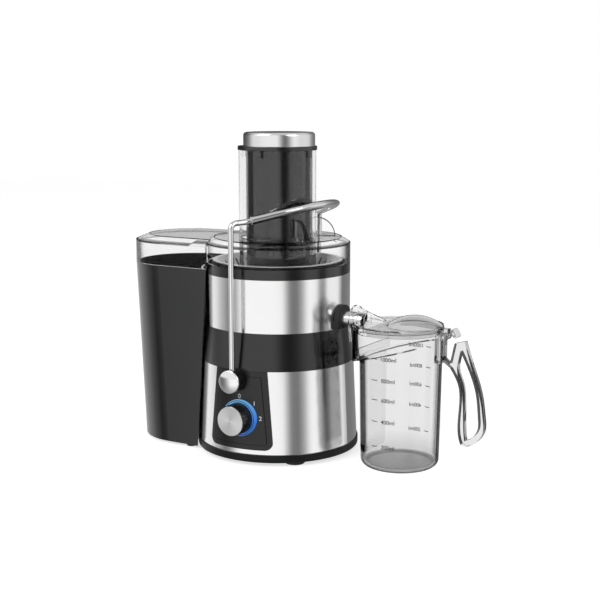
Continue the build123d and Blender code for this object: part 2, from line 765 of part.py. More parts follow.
def grating_disc():
    low = z_basket + BASKET_WALL
    plate = disc(disc_r, low, low + DISC)
    side = outline((0, 0), (TOOTH_LENGTH, 0), (0, TOOTH))
    tooth = Pos(0, 0, low + DISC) * extrude(Plane.XZ * side, TOOTH_LENGTH / 4, both=True)
    for ring in range(TEETH_RINGS):
        radius = disc_r * (ring + 1) / (TEETH_RINGS + 1)
        plate += [spot * tooth for spot in ring_places(TEETH_PER_RING, radius, TEETH_TURN * ring)]
    return plate - disc(SHAFT_R, low, low + DISC)


def basket_hub():
    hub = spun((SHAFT_R, z_hub), (COUPLING_R + COUPLING_LIP, z_hub),
               (BASKET_HUB_R, z_basket), (SHAFT_R, z_basket))
    return hub - [spot * disc(LUG_R, z_hub, z_hub + LUG_HEIGHT) for spot in ring_places(3, LUG_RING_R)]


def drive_coupling():
    body = disc(COUPLING_R, z_hub - COUPLING_HEIGHT, z_hub)
    body += [spot * disc(LUG_R, z_hub, z_hub + LUG_HEIGHT) for spot in ring_places(3, LUG_RING_R)]
    return body - disc(SHAFT_R, z_hub - COUPLING_HEIGHT, z_hub + LUG_HEIGHT)


def motor_shaft():
    top = z_disc + 2 * DISC
    shaft = disc(SHAFT_R, shaft_low, top)
    return chamfer(shaft.edges().group_by(Axis.Z)[-1], SHAFT_R * 0.2)


def shaft_seal():
    outer, inner = COLLAR_R - COLLAR_WALL, SHAFT_R + RUNNING
    return spun((outer, z_deck), (outer, z_bowl), (inner, z_bowl + SEAL_LIP), (inner, z_bowl),
                (SHAFT_R + SEAL_LIP, z_deck))


def motor_stator():
    stack = disc(STATOR_R, stator_low, z_bracket)
    flat = STATOR_R * 0.86
    stack &= block((-flat, -STATOR_R, stator_low), (flat, STATOR_R, z_bracket))
    return stack - disc(STATOR_BORE, stator_low, z_bracket)


def field_windings():
    low = stator_low - WINDING_HEIGHT
    ring = tube(STATOR_R * 0.86, STATOR_BORE + ROOM, low, stator_low)
    half, edge = STATOR_R * 0.42, STATOR_BORE * 0.6
    coil = ring & block((edge, -half, low), (STATOR_R, half, stator_low))
    return [coil, Rot(0, 0, 180) * coil]


def motor_upper_bracket():
    low, high = z_bracket, z_bracket + BRACKET
    plate = disc(STATOR_R, low, high)
    for spot in ring_places(4, DAMPER_RING_R, 45):
        plate += spot * disc(DAMPER_R + ROOM / 2, low, high)
    half = DAMPER_R
    arm = block((-DAMPER_RING_R, -half, low), (DAMPER_RING_R, half, high))
    plate += Rot(0, 0, 45) * arm + Rot(0, 0, -45) * arm
    plate += disc(BEARING_R + BEARING_RIM, high, z_bracket + BEARING_HEIGHT + BRACKET / 2)
    for spot in ring_places(4, DAMPER_RING_R, 45):
        plate -= spot * disc(SCREW_R + FIT, low, high)
    plate -= disc(BEARING_R, low + BRACKET / 2, high + BEARING_HEIGHT)
    return plate - disc(SHAFT_R + ROOM, low, high)


def motor_lower_bracket():
    low, high = z_lower_bracket, z_lower_bracket + BRACKET
    plate = disc(STATOR_R, low, high)
    plate += disc(BEARING_R + BEARING_RIM, low, high + ROOM)
    for spot in ring_places(4, STATOR_R - 1.5 * BRACKET_LEG_R, 45):
        plate += spot * disc(BRACKET_LEG_R, low, stator_low)
    for side in SIDES:
        plate -= disc(2 * BRACKET_LEG_R, low, high, side * STATOR_R * 0.65)
    plate -= disc(BEARING_R, low, high)
    return plate - disc(SHAFT_R + ROOM, low, high + ROOM)


def bearing(low, high):
    return tube(BEARING_R, SHAFT_R + RUNNING, low, high)


def armature_core():
    radius = STATOR_BORE - AIR_GAP
    low, high = stator_low - ROOM, z_bracket - ROOM
    core = disc(radius, stator_low + ROOM, high - ROOM)
    slot = block((radius * 0.8, -CORE_SLOT / 2, low), (radius * 1.1, CORE_SLOT / 2, high))
    core -= [Rot(0, 0, 360 * i / CORE_SLOTS) * slot for i in range(CORE_SLOTS)]
    core += disc(radius * 0.7, low, high)
    return core - disc(SHAFT_R, low, high)


def commutator():
    high = stator_low - ROOM
    low = high - COMMUTATOR_HEIGHT
    body = tube(COMMUTATOR_R, SHAFT_R, low, high)
    slot = block((COMMUTATOR_R * 0.92, -BAR_GAP / 2, low), (COMMUTATOR_R * 1.1, BAR_GAP / 2, high))
    return body - [Rot(0, 0, 360 * i / COMMUTATOR_BARS) * slot for i in range(COMMUTATOR_BARS)]


brush_z = stator_low - ROOM - COMMUTATOR_HEIGHT / 2
brush_start = COMMUTATOR_R + RUNNING


def along_front(side, low, high):
    """Box driven out from the motor axis on the front or back side."""
    return block((low[0], min(side * low[1], side * high[1]), low[2]),
                 (high[0], max(side * low[1], side * high[1]), high[2]))


def brush_room(side, start):
    """Square bar along a brush, from a radius out to the brush's end."""
    half = BRUSH_SIZE / 2
    end = brush_start + BRUSH_LENGTH
    return along_front(side, (-half, start, brush_z - half), (half, end, brush_z + half))


def carbon_brushes():
    curve = disc(brush_start, brush_z - BRUSH_SIZE, brush_z + BRUSH_SIZE)
    return [brush_room(side, brush_start) - curve for side in SIDES]


def brush_holders():
    outer = BRUSH_SIZE / 2 + HOLDER_WALL
    low = z_lower_bracket + BRACKET
    start = COMMUTATOR_R + ROOM
    holders = []
    for side in SIDES:
        holder = along_front(side, (-outer, start, low), (outer, STATOR_R * 0.7, brush_z + outer))
        holder -= brush_room(side, start)
        holders.append(holder - disc(BEARING_R + BEARING_RIM, low, low + ROOM))
    return holders


def cooling_fan():
    high = z_lower_bracket - ROOM
    low = high - FAN_HEIGHT
    fan = disc(FAN_R, low, low + FAN_PLATE)
    fan += disc(FAN_HUB_R, low, high)
    blade = block((FAN_HUB_R / 2, -FAN_BLADE / 2, low), (FAN_R, FAN_BLADE / 2, high))
    fan += [Rot(0, 0, 360 * i / FAN_BLADES) * blade for i in range(FAN_BLADES)]
    return fan - disc(SHAFT_R, low, high)


def motor_dampers():
    low = z_bracket + BRACKET
    bush = tube(DAMPER_R, SCREW_R + FIT, low, z_bracket + DAMPER_HEIGHT)
    return [spot * bush for spot in ring_places(4, DAMPER_RING_R, 45)]


def motor_screws():
    screw = disc(SCREW_HEAD_R, z_bracket - SCREW_HEAD, z_bracket)
    screw += disc(SCREW_R, z_bracket, z_deck - DECK)
    return [spot * screw for spot in ring_places(4, DAMPER_RING_R, 45)]


def board_posts():
    half_x, half_y = BOARD_LENGTH / 2 - BOARD_POST_R, BOARD_WIDTH / 2 - BOARD_POST_R
    return [Pos(BOARD_X + sx * half_x, sy * half_y, 0) for sx in SIDES for sy in SIDES]


def control_board():
    low = z_pan + BOARD_POST
    top = low + BOARD

    def on_board(x, y, z):
        """Point from its shares of the board's half sizes and a height."""
        return BOARD_X + x * BOARD_LENGTH / 2, y * BOARD_WIDTH / 2, z

    board = block(on_board(-1, -1, low), on_board(1, 1, top))
    board += block(on_board(-0.7, -0.6, top), on_board(-0.2, 0.3, top + BOARD_PARTS))
    board += block(on_board(0.5, -0.3, top), on_board(0.8, 0.5, top + BOARD_PARTS / 2))
    for share in (-0.45, 0.2):
        board += rod(BOARD_LENGTH * 0.09, on_board(0.2, share, top), on_board(0.2, share, top + BOARD_PARTS))
    return board


def interlock_switch():
    z = pivot_z + BOSS_R * 0.4
    low = (PIN_HEAD_R + ROOM / 2, -boss_inner, z - MICRO_HEIGHT / 2)
    return block(low, (low[0] + MICRO_WIDTH, low[1] + MICRO_LENGTH, z + MICRO_HEIGHT / 2))


def cord_gland():
    y = lower_r(gland_z)
    gland = rod(GLAND_R, (0, housing_in - WALL, gland_z), (0, y + GLAND_PROUD, gland_z))
    collar = rod(GLAND_FLANGE_R, (0, y * 0.9, gland_z), (0, y + GLAND_FLANGE, gland_z)) - flare(0)
    return gland + collar - rod(GLAND_BORE_R, (0, 0, gland_z), (0, y + GLAND_PROUD, gland_z))


def bin_plan(z, wall):
    """Plan of the bin at a height, drawn in by a wall; its round back leans in towards the floor."""
    share = (z - BIN_FOOT) / (z_bin_top - BIN_FOOT)
    x = BIN_LOW_X + (lobe_x - BIN_LOW_X) * share
    return lobe_plan(z, x, BIN_LOW_R + (LOBE_R - BIN_LOW_R) * share - wall)


def bin_solid(wall, low):
    """Leaning bin with a hollow front that follows the body, drawn in by a wall."""
    solid = loft([bin_plan(low, wall), bin_plan(z_bin_top, wall)], ruled=True)
    low_body, top_body = rim_r + BIN_BODY_GAP + wall, upper_r + BIN_BODY_GAP + wall
    return solid - spun((0, low), (low_body, low), (top_body, z_bin_top), (0, z_bin_top))


def bin_shell():
    return bin_solid(0, BIN_FOOT) - bin_solid(BIN_WALL, BIN_FOOT + BIN_WALL)


def bin_feet():
    inset = 1.5 * BIN_FOOT_R
    back = (-BIN_LOW_X - BIN_LOW_R + inset, 0)
    spots = [back] + [(-BIN_FOOT_X, side * (BIN_LOW_R - inset)) for side in SIDES]
    return [disc(BIN_FOOT_R, 0, BIN_FOOT, x, y) for x, y in spots]


def lip_plane(lift):
    """Everything below the pouring lip's sloping floor, raised by a wall."""
    corner = Plane((jug_x - LIP_SHIFT - lip_r, 0, lip_low + lift)) * Rot(0, -LIP_SLOPE, 0)
    return corner * Box(8 * lip_r, 4 * lip_r, 4 * lip_r, align=(Align.CENTER, Align.CENTER, Align.MAX))


def jug_solid(wall, low):
    """Tapered jug with its pouring lip, drawn in by a wall."""
    cup = spun((0, low), (jug_low_r - wall, low), (JUG_TOP_R - wall, jug_height), (0, jug_height))
    cup = Pos(jug_x, 0, 0) * cup
    cup = fillet(cup.edges().group_by(Axis.Z)[0], JUG_BASE_ROUND - wall)
    lip = disc(lip_r - wall, lip_low - lip_r, jug_height, jug_x - LIP_SHIFT)
    return cup + (lip - lip_plane(wall))


def spout_slot():
    """Space for the spout's end, open below so that the lid lifts off it."""
    start = hood_x - 4 * HOOD_PLATE
    slot = rod(slot_r, (start, 0, spout_z), (slot_end, 0, spout_z))
    return slot + block((start, -slot_r, spout_z - 3 * slot_r), (slot_end, slot_r, spout_z))


def jug_body():
    jug = jug_solid(0, 0) - jug_solid(JUG_WALL, JUG_FLOOR)
    notch = block((0, -slot_r, jug_height - slot_r), (slot_end, slot_r, jug_height))
    return jug - notch


def froth_separator():
    reach = JUG_TOP_R
    plate = block((separator_x, -reach, SEPARATOR_LOW), (separator_x + SEPARATOR, reach, separator_top))
    tray = block((0, -reach, 0), (separator_x + SEPARATOR, reach, separator_top))
    tray &= lip_plane(JUG_WALL + SEPARATOR)
    tray -= lip_plane(JUG_WALL + FIT)
    return (plate + tray) & jug_solid(JUG_WALL + FIT, JUG_FLOOR)


def lid_outline(grow, low, high):
    """Solid with the plan of the jug's mouth, grown by an overhang, between two heights."""
    plan = disc(JUG_TOP_R + grow, low, high, jug_x)
    return plan + disc(lip_r + grow, low, high, jug_x - LIP_SHIFT)


def jug_lid():
    lid = lid_outline(LID_OVERHANG, jug_height, lid_top)
    lid -= lid_outline(-JUG_WALL, jug_height, lid_top - LID)
    plug = -JUG_WALL - LID_PLUG_ROOM
    ring = lid_outline(plug, jug_height - LID_PLUG, lid_top - LID / 2)
    lid += ring - lid_outline(plug - LID_PLUG_WALL, jug_height - LID_PLUG, lid_top - LID)
    bulge = (dome_r ** 2 + DOME_RISE ** 2) / (2 * DOME_RISE)
    centre = Pos(dome_x, 0, lid_top - bulge + DOME_RISE)
    cap = disc(dome_r, lid_top - LID / 2, lid_top + DOME_RISE, dome_x)
    lid += centre * Sphere(bulge) & cap
    lid -= centre * Sphere(bulge - LID) & disc(dome_r, lid_top - LID, lid_top + DOME_RISE, dome_x)
    lid += lid_hood()
    lid -= spout_slot()
    lid += lid_knuckle()
    return lid - hinge_rod(HINGE_PIN_R + RUNNING, KNUCKLE_WIDTH)


def lid_hood():
    """Leaning round-topped plate and half-cone roof that cover the spout's end."""
    end_x = hood_x + HOOD_LENGTH
    front = Plane((hood_x + HOOD_PLATE, 0, spout_z), z_dir=(1, 0, 0))
    back = Plane((end_x, 0, lid_top), z_dir=(1, 0, 0))
    roof = loft([front * Circle(HOOD_R), back * Circle(HOOD_END_R)])
    room = loft([front * Circle(HOOD_R - HOOD_WALL), back * Circle(HOOD_END_R / 3)])
    above = block((hood_x, -lip_r, lid_top - LID / 2), (end_x + lip_r, lip_r, lid_top + 4 * HOOD_R))
    face = Circle(HOOD_PLATE_R) + Pos(0, -HOOD_LOW / 2) * Rectangle(2 * HOOD_PLATE_R, HOOD_LOW)
    seat = Plane((hood_x, 0, spout_z), x_dir=(0, 1, 0), z_dir=(1, 0, 0)).rotated((HOOD_LEAN, 0, 0))
    return (roof - room & above) + extrude(seat * face, HOOD_PLATE)


def lid_knuckle():
    half = KNUCKLE_WIDTH / 2
    knuckle = hinge_rod(KNUCKLE_R, half)
    knuckle += block((hinge_x - KNUCKLE_R, -half, hinge_z), (hinge_x + KNUCKLE_R, half, lid_top))
    knuckle += block((jug_x + JUG_TOP_R - LID, -half, lid_top - LID), (hinge_x, half, lid_top))
    lean = Plane((hinge_x, 0, hinge_z)) * Rot(0, -LEVER_ANGLE, 0)
    stem = Box(LEVER_LENGTH, KNUCKLE_WIDTH * 0.6, LEVER_R, align=(Align.MIN, Align.CENTER, Align.CENTER))
    paddle = Box(2 * LEVER_R, KNUCKLE_WIDTH, PADDLE_LENGTH + 2 * LEVER_R)
    paddle = fillet(paddle.edges().filter_by(Axis.Y), LEVER_R * 0.9)
    return knuckle + lean * stem + lean * Pos(LEVER_LENGTH, 0, 0) * Rot(0, -PADDLE_TURN, 0) * paddle


def handle_bracket():
    half = JUG_BRACKET_HALF
    plate = block((jug_x, -half, bracket_low), (bracket_face, half, bracket_top))
    plate = fillet(plate.edges().filter_by(Axis.X), BRACKET_DEPTH / 2)
    ear_in = KNUCKLE_WIDTH / 2 + GAP
    turn = KNUCKLE_R + GAP
    plate -= hinge_rod(turn, ear_in)
    plate -= block((hinge_x - turn, -ear_in, hinge_z), (hinge_x, ear_in, bracket_top))
    for side in SIDES:
        low, high = sorted((side * ear_in, side * (ear_in + EAR)))
        plate += block((jug_x + JUG_TOP_R, low, hinge_z - KNUCKLE_R), (hinge_x, high, bracket_top))
        plate += rod(KNUCKLE_R, (hinge_x, low, hinge_z), (hinge_x, high, hinge_z))
        plate -= rod(HINGE_PIN_R, (hinge_x, low, hinge_z), (hinge_x, high, hinge_z))
    return plate - jug_solid(0, 0)


def jug_hinge_pin():
    return hinge_rod(HINGE_PIN_R, KNUCKLE_WIDTH / 2 + GAP + EAR)


def handle_points(shares):
    """Points of the handle's outline from their shares of its reach and height."""
    return [(bracket_face + HANDLE_REACH * u, HANDLE_LOW + (handle_top - HANDLE_LOW) * v) for u, v in shares]


def jug_handle():
    """Curved closed loop on a strut, with a web to the bracket."""
    strut, back, front = [handle_points(s) for s in (HANDLE_STRUT, HANDLE_BACK, HANDLE_FRONT)]
    edge = Polyline(*strut) + Spline(*back) + Polyline(back[-1], front[0]) + Spline(*front[:-1])
    outer = make_face(edge + Polyline(front[-2], front[-1], strut[0]))
    back, front = handle_points(HANDLE_GAP_BACK), handle_points(HANDLE_GAP_FRONT)
    edge = Spline(*back) + Spline(back[-1], *front) + Polyline(front[-1], back[0])
    loop = extrude(Plane.XZ * (outer - make_face(edge)), HANDLE_HALF, both=True)
    return fillet(loop.edges().group_by(Axis.Y)[0] + loop.edges().group_by(Axis.Y)[-1], HANDLE_ROUND)


def as_list(made):
    return made if isinstance(made, list) else [made]


def write(name, made):
    """Save one piece, or one group of equal pieces, under its name."""
    solids = [s for piece in as_list(made) for s in piece.solids()]
    export_step(solids[0] if len(solids) == 1 else Compound(children=solids), f"parts/{name}.step")


def main():
    os.makedirs("parts", exist_ok=True)
    wire = arm_wire()
    pieces = {
        "base_pan": base_pan(), "rubber_feet": rubber_feet(), "pan_screws": pan_screws(),
        "lower_housing": lower_housing(), "lower_skin": lower_skin(), "control_panel": control_panel(),
        "light_ring": light_ring(), "rotary_switch": rotary_switch(), "control_board": control_board(),
        "interlock_switch": interlock_switch(), "cord_gland": cord_gland(), "waist_housing": waist_housing(),
        "motor_upper_bracket": motor_upper_bracket(), "motor_lower_bracket": motor_lower_bracket(),
        "motor_stator": motor_stator(), "field_windings": field_windings(),
        "upper_bearing": bearing(z_bracket + BRACKET / 2, z_bracket + BRACKET / 2 + BEARING_HEIGHT),
        "lower_bearing": bearing(z_lower_bracket, z_lower_bracket + BRACKET),
        "brush_holders": brush_holders(), "carbon_brushes": carbon_brushes(),
        "motor_dampers": motor_dampers(), "motor_screws": motor_screws(), "shaft_seal": shaft_seal(),
        "juice_bowl": juice_bowl(), "upper_skin": upper_skin(), "spout_gasket": spout_gasket(),
        "spout_tube": spout_tube(), "clear_cover": clear_cover(),
        "motor_shaft": motor_shaft(), "armature_core": armature_core(), "commutator": commutator(),
        "cooling_fan": cooling_fan(), "drive_coupling": drive_coupling(), "basket_hub": basket_hub(),
        "filter_basket": filter_basket(), "grating_disc": grating_disc(),
        "pusher_body": pusher_body(), "pusher_flange": pusher_flange(), "pusher_cap": pusher_cap(),
        "arm_wire": wire, "arm_grip": arm_grip(wire), "pivot_pins": pivot_pins(),
        "pivot_hub_front": pivot_hub(-1), "pivot_hub_rear": pivot_hub(1), "pivot_caps": pivot_caps(),
        "knob_body": knob_body(), "knob_face": knob_face(), "switch_shaft": switch_shaft(),
        "bin_shell": bin_shell(), "bin_feet": bin_feet(),
        "jug_body": jug_body(), "froth_separator": froth_separator(), "handle_bracket": handle_bracket(),
        "jug_handle": jug_handle(), "jug_hinge_pin": jug_hinge_pin(), "jug_lid": jug_lid(),
    }
    for name, made in pieces.items():
        write(name, made)


if __name__ == "__main__":
    main()
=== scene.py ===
# %% [markdown]
# A centrifugal juicer stands on a white table: a steel and black body, a clear cover with a feed
# chute, a chrome arm that locks the cover, a pulp bin on the left and a clear jug on the right.
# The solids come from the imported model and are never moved. Here they get their finishes, the
# printed marks, the studio and the camera.

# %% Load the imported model
import json
import math

import bpy
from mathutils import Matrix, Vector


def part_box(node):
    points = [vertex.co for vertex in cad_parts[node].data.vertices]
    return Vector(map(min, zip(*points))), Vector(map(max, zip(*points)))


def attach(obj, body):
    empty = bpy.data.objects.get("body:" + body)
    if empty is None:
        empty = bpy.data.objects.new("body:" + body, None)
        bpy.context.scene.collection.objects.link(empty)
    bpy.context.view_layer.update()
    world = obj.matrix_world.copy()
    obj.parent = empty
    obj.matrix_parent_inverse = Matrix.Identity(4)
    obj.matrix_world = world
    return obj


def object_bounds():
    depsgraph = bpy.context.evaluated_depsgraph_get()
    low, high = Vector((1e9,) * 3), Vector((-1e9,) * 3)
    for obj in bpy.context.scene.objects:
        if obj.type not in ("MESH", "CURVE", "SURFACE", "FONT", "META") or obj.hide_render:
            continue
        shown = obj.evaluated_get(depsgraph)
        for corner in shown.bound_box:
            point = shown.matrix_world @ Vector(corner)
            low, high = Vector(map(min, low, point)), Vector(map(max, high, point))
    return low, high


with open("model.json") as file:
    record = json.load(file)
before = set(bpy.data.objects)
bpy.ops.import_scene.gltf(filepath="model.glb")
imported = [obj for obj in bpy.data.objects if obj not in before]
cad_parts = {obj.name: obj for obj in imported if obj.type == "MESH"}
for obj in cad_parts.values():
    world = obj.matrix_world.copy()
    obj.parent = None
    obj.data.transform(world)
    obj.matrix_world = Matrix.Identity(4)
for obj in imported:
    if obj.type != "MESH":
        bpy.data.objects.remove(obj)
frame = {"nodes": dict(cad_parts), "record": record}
nodes = frame["nodes"]
cad_low, cad_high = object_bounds()
bpy.ops.object.select_all(action="DESELECT")
print("loaded", len(nodes), "nodes, size", [round(v, 4) for v in cad_high - cad_low])

# %% [markdown]
# Every finish is a small network of shader nodes. It could be wired by hand, node by node, but
# that takes many lines and hides the sum behind them. So one class wraps a socket: sums on it add
# Math nodes, and its node method adds any other kind of node.


# %% A socket that can be calculated with
class Socket:
    def __init__(self, tree, out=None):
        self.tree = tree
        self.out = out

    def node(self, kind, out=0, settings=None, inputs=None):
        made = self.tree.nodes.new(kind)
        for name, value in (settings or {}).items():
            if name == "stops":
                ramp = made.color_ramp.elements
                while len(ramp) < len(value):
                    ramp.new(0.5)
                for stop, (place, tone) in zip(ramp, value):
                    stop.position = place
                    stop.color = (tone, tone, tone, 1)
            else:
                setattr(made, name, value)
        for name, value in (inputs or {}).items():
            target = made.inputs[name]
            if isinstance(value, Socket):
                self.tree.links.new(value.out, target)
            else:
                target.default_value = value
        return Socket(self.tree, made.outputs[out] if made.outputs else None)

    def maths(self, operation, first, second=0.0):
        return self.node("ShaderNodeMath", 0, {"operation": operation}, {0: first, 1: second})

    def __add__(self, other):
        return self.maths("ADD", self, other)

    def __radd__(self, other):
        return self.maths("ADD", other, self)

    def __sub__(self, other):
        return self.maths("SUBTRACT", self, other)

    def __rsub__(self, other):
        return self.maths("SUBTRACT", other, self)

    def __mul__(self, other):
        return self.maths("MULTIPLY", self, other)

    def __rmul__(self, other):
        return self.maths("MULTIPLY", other, self)

    def blend(self, under, over):
        """Colour between two colours: under where this value is 0, over where it is 1."""
        return self.node("ShaderNodeMix", 2, {"data_type": "RGBA"}, {0: self, 6: under, 7: over})


# %% [markdown]
# A new material starts with an empty network and ends in an output node. Its pattern could lie on
# an unwrapped picture of the piece, but the solids have no such map. So the pattern is measured
# in metres from the object's own origin, and stays on the piece when the piece moves.

# %% Start and close a material
MM = 0.001
BUMP_DEPTH = 0.1 * MM


def grey(value):
    return (value, value, value, 1)


def new_finish(name):
    material = bpy.data.materials.new(name)
    material.use_nodes = True
    material.node_tree.nodes.clear()
    return material, Socket(material.node_tree)


def close_finish(surface):
    surface.node("ShaderNodeOutputMaterial", 0, None, {"Surface": surface})


def object_place(start):
    return start.node("ShaderNodeTexCoord", 3)


def xyz(place):
    parts = place.node("ShaderNodeSeparateXYZ", 0, None, {0: place})
    return [Socket(place.tree, out) for out in parts.out.node.outputs]


def noise(start, place, scale, detail=2.0):
    inputs = {"Vector": place, "Scale": scale, "Detail": detail}
    return start.node("ShaderNodeTexNoise", 0, None, inputs)


def bump(start, height, strength):
    inputs = {"Height": height, "Strength": strength, "Distance": BUMP_DEPTH}
    return start.node("ShaderNodeBump", 0, None, inputs)


# %% [markdown]
# The body, the cap and the basket are brushed steel. On the real juicer the sheet is ground while
# it turns, so the fine lines run round the motor axis. A photo of brushed metal would have to be
# wrapped round every piece. A noise needs no wrapping: the angle and the radius about the axis
# are worked out from the place, and a noise that is very fine across the lines and long along
# them makes the grain.

# %% Brushed steel
GRAIN_ACROSS = 2600.0
GRAIN_ALONG = 7.0
GRAIN_DETAIL = 3.0
TONE_SPREAD = 0.06
POLISH_SPREAD = 0.08
BRUSHED_RELIEF = 0.02


def turned_grain(start, place, axis):
    """Noise drawn out round an axis through the place's origin, and the angle about that axis."""
    x, y, z = xyz(place)
    side, height = (y, z) if axis == "Z" else (z, y)
    angle = start.maths("ARCTAN2", side, x)
    radius = start.maths("SQRT", x * x + side * side)
    drawn = start.node("ShaderNodeCombineXYZ", 0, None,
                       {0: angle * GRAIN_ALONG, 1: height * GRAIN_ACROSS, 2: radius * GRAIN_ACROSS})
    return noise(start, drawn, 1.0, GRAIN_DETAIL), angle


def brushed_steel(name, tone, rough):
    material, start = new_finish(name)
    grain = turned_grain(start, object_place(start), "Z")[0]
    surface = start.node("ShaderNodeBsdfPrincipled", 0, None, {
        "Base Color": grain.blend(grey(tone - TONE_SPREAD), grey(tone + TONE_SPREAD)),
        "Metallic": 1.0,
        "Roughness": rough - POLISH_SPREAD / 2 + POLISH_SPREAD * grain,
        "Normal": bump(start, grain, BRUSHED_RELIEF),
    })
    close_finish(surface)
    return material


skin_steel = brushed_steel("skin_steel", 0.93, 0.16)
cap_steel = brushed_steel("cap_steel", 0.9, 0.17)
basket_steel = brushed_steel("basket_steel", 0.62, 0.4)
print("made", skin_steel.name, cap_steel.name, "and", basket_steel.name)

# %% [markdown]
# The knob's face is a disc that was faced on a lathe, so its lines are rings about the knob's own
# axis and it catches the light in two opposite fans. An anisotropic shader could make the fans,
# but the exported model loses it. So a cosine of the angle paints them into the colour as a
# painted highlight, and a Mapping node moves the pattern's centre onto the knob's axis.

# %% Spun knob face
face_low, face_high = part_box("knob_face")
face_centre = (face_low + face_high) / 2
PAINTED_FAN_TURN = 0.5
PAINTED_FAN_SHARE = 0.65
FACE_DARK, FACE_BRIGHT = 0.66, 1.0
FACE_POLISH, FACE_POLISH_SPREAD = 0.12, 0.1
FACE_RELIEF = 0.12


def about_knob(start):
    """Place measured from the middle of the knob's face."""
    inputs = {"Vector": object_place(start), "Location": [-v for v in face_centre]}
    return start.node("ShaderNodeMapping", 0, None, inputs)


def spun_face():
    material, start = new_finish("spun_face")
    grain, angle = turned_grain(start, about_knob(start), "Y")
    # Painted highlight: two opposite fans of light drawn into the face's colour.
    painted_fans = 0.5 + 0.5 * start.maths("COSINE", 2.0 * angle + PAINTED_FAN_TURN)
    tone = (1 - PAINTED_FAN_SHARE) * grain + PAINTED_FAN_SHARE * painted_fans
    surface = start.node("ShaderNodeBsdfPrincipled", 0, None, {
        "Base Color": tone.blend(grey(FACE_DARK), grey(FACE_BRIGHT)),
        "Metallic": 1.0,
        "Roughness": FACE_POLISH + FACE_POLISH_SPREAD * grain,
        "Normal": bump(start, grain, FACE_RELIEF),
    })
    close_finish(surface)
    return material


knob_metal = spun_face()
print("made", knob_metal.name, "centred at", [round(v, 4) for v in face_centre])

# %% [markdown]
# The arm and its caps are chromed, and screws, bearings and the motor are bare metal. These
# differ in colour and polish only, so one function makes them all. One flat value would look like
# computer metal, and real plating has faint cloudy patches, so a soft noise wanders through the
# colour and the roughness.

# %% Plain metals
PLATING_CLOUDS = 60.0
PLATING_DARK = 0.9


def plain_metal(name, colour, rough, patchy):
    material, start = new_finish(name)
    cloud = noise(start, object_place(start), PLATING_CLOUDS)
    dark = tuple(v * PLATING_DARK for v in colour)
    surface = start.node("ShaderNodeBsdfPrincipled", 0, None, {
        "Base Color": cloud.blend((*dark, 1), (*colour, 1)),
        "Metallic": 1.0,
        "Roughness": rough + patchy * (cloud - 0.5),
    })
    close_finish(surface)
    return material


chrome = plain_metal("chrome", (0.9, 0.9, 0.9), 0.06, 0.03)
dome_chrome = plain_metal("dome_chrome", (0.95, 0.95, 0.95), 0.05, 0.02)
bare_steel = plain_metal("bare_steel", (0.72, 0.72, 0.73), 0.2, 0.1)
cast_alloy = plain_metal("cast_alloy", (0.75, 0.75, 0.76), 0.42, 0.15)
copper = plain_metal("copper", (0.78, 0.4, 0.2), 0.3, 0.1)
print("made", chrome.name, dome_chrome.name, bare_steel.name, cast_alloy.name, copper.name)

# %% [markdown]
# The black parts are injection moulded, in a tool with a fine spark-eroded texture. Modelling
# that texture would take millions of faces, so two noises stand for it: a fine one for the
# grain's bumps, and a broad one that lets the gloss wander a little. Each finish is given by its
# colour, roughness, grain size, relief and gloss.

# %% Moulded plastics
GLOSS_CLOUDS = 25.0
CLOUD_LIGHT = 1.25
CLOUD_POLISH, GRAIN_POLISH = 0.08, 0.06
BLACK = (0.006, 0.006, 0.006)


def moulded(name, colour, rough, grain_size, relief, gloss=0.5):
    material, start = new_finish(name)
    place = object_place(start)
    grain = noise(start, place, 1 / grain_size)
    cloud = noise(start, place, GLOSS_CLOUDS)
    light = tuple(v * CLOUD_LIGHT for v in colour)
    surface = start.node("ShaderNodeBsdfPrincipled", 0, None, {
        "Base Color": cloud.blend((*colour, 1), (*light, 1)),
        "Roughness": rough + CLOUD_POLISH * (cloud - 0.5) + GRAIN_POLISH * (grain - 0.5),
        "Normal": bump(start, grain, relief),
        "Specular IOR Level": gloss,
    })
    close_finish(surface)
    return material


black_satin = moulded("black_satin", BLACK, 0.15, 0.5 * MM, 0.05, 0.7)
bin_satin = moulded("bin_satin", BLACK, 0.13, 0.5 * MM, 0.05, 0.95)
black_matt = moulded("black_matt", BLACK, 0.4, 0.5 * MM, 0.08, 0.25)
panel_black = moulded("panel_black", (0.007, 0.0066, 0.0066), 0.27, 0.4 * MM, 0.06, 0.5)
smoke_gloss = moulded("smoke_gloss", (0.005, 0.005, 0.005), 0.08, 2 * MM, 0.01, 0.9)
rubber = moulded("rubber", (0.012, 0.012, 0.012), 0.62, 0.6 * MM, 0.2)
white_nylon = moulded("white_nylon", (0.78, 0.78, 0.75), 0.42, 0.8 * MM, 0.08)
carbon = moulded("carbon", (0.05, 0.05, 0.05), 0.7, 0.3 * MM, 0.2)
board_green = moulded("board_green", (0.04, 0.2, 0.08), 0.35, 1 * MM, 0.05)
print_white = moulded("print_white", (0.82, 0.82, 0.82), 0.5, 0.3 * MM, 0.03)
print_grey = moulded("print_grey", (0.012, 0.012, 0.013), 0.5, 0.3 * MM, 0.03)
print("made the moulded plastics")

# %% [markdown]
# The cover, the jug and its lid are clear plastic. The walls are real solids, so a transmission
# shader bends the view at thick edges. That alone leaves the outlines pale, because a white
# studio shines through them, and real mouldings look dark there. So upright walls get painted
# shade: they are painted dark where they turn away from the eye. A bent ray can't reach a lamp,
# so light rays pass straight through a transparent shader instead, and the inside stays lit.
# Reflections in the steel take the same short way.

# %% Clear plastic
MIRRORED_TINT = 0.85
UPRIGHT, LYING = 0.35, 0.6
HAZE_SCALE, HAZE = 18.0, 0.01
TOP_FADE, NO_TOP = 2 * MM, 1.0
PAINTED_BLACK_TONE, PAINTED_BLACK_ROUGH = 0.008, 0.2


def stretch(value, low, high, at_low=0.0, at_high=1.0):
    """Value taken from one range to another and kept inside it."""
    inputs = {0: value, 1: low, 2: high, 3: at_low, 4: at_high}
    return value.node("ShaderNodeMapRange", 0, None, inputs)


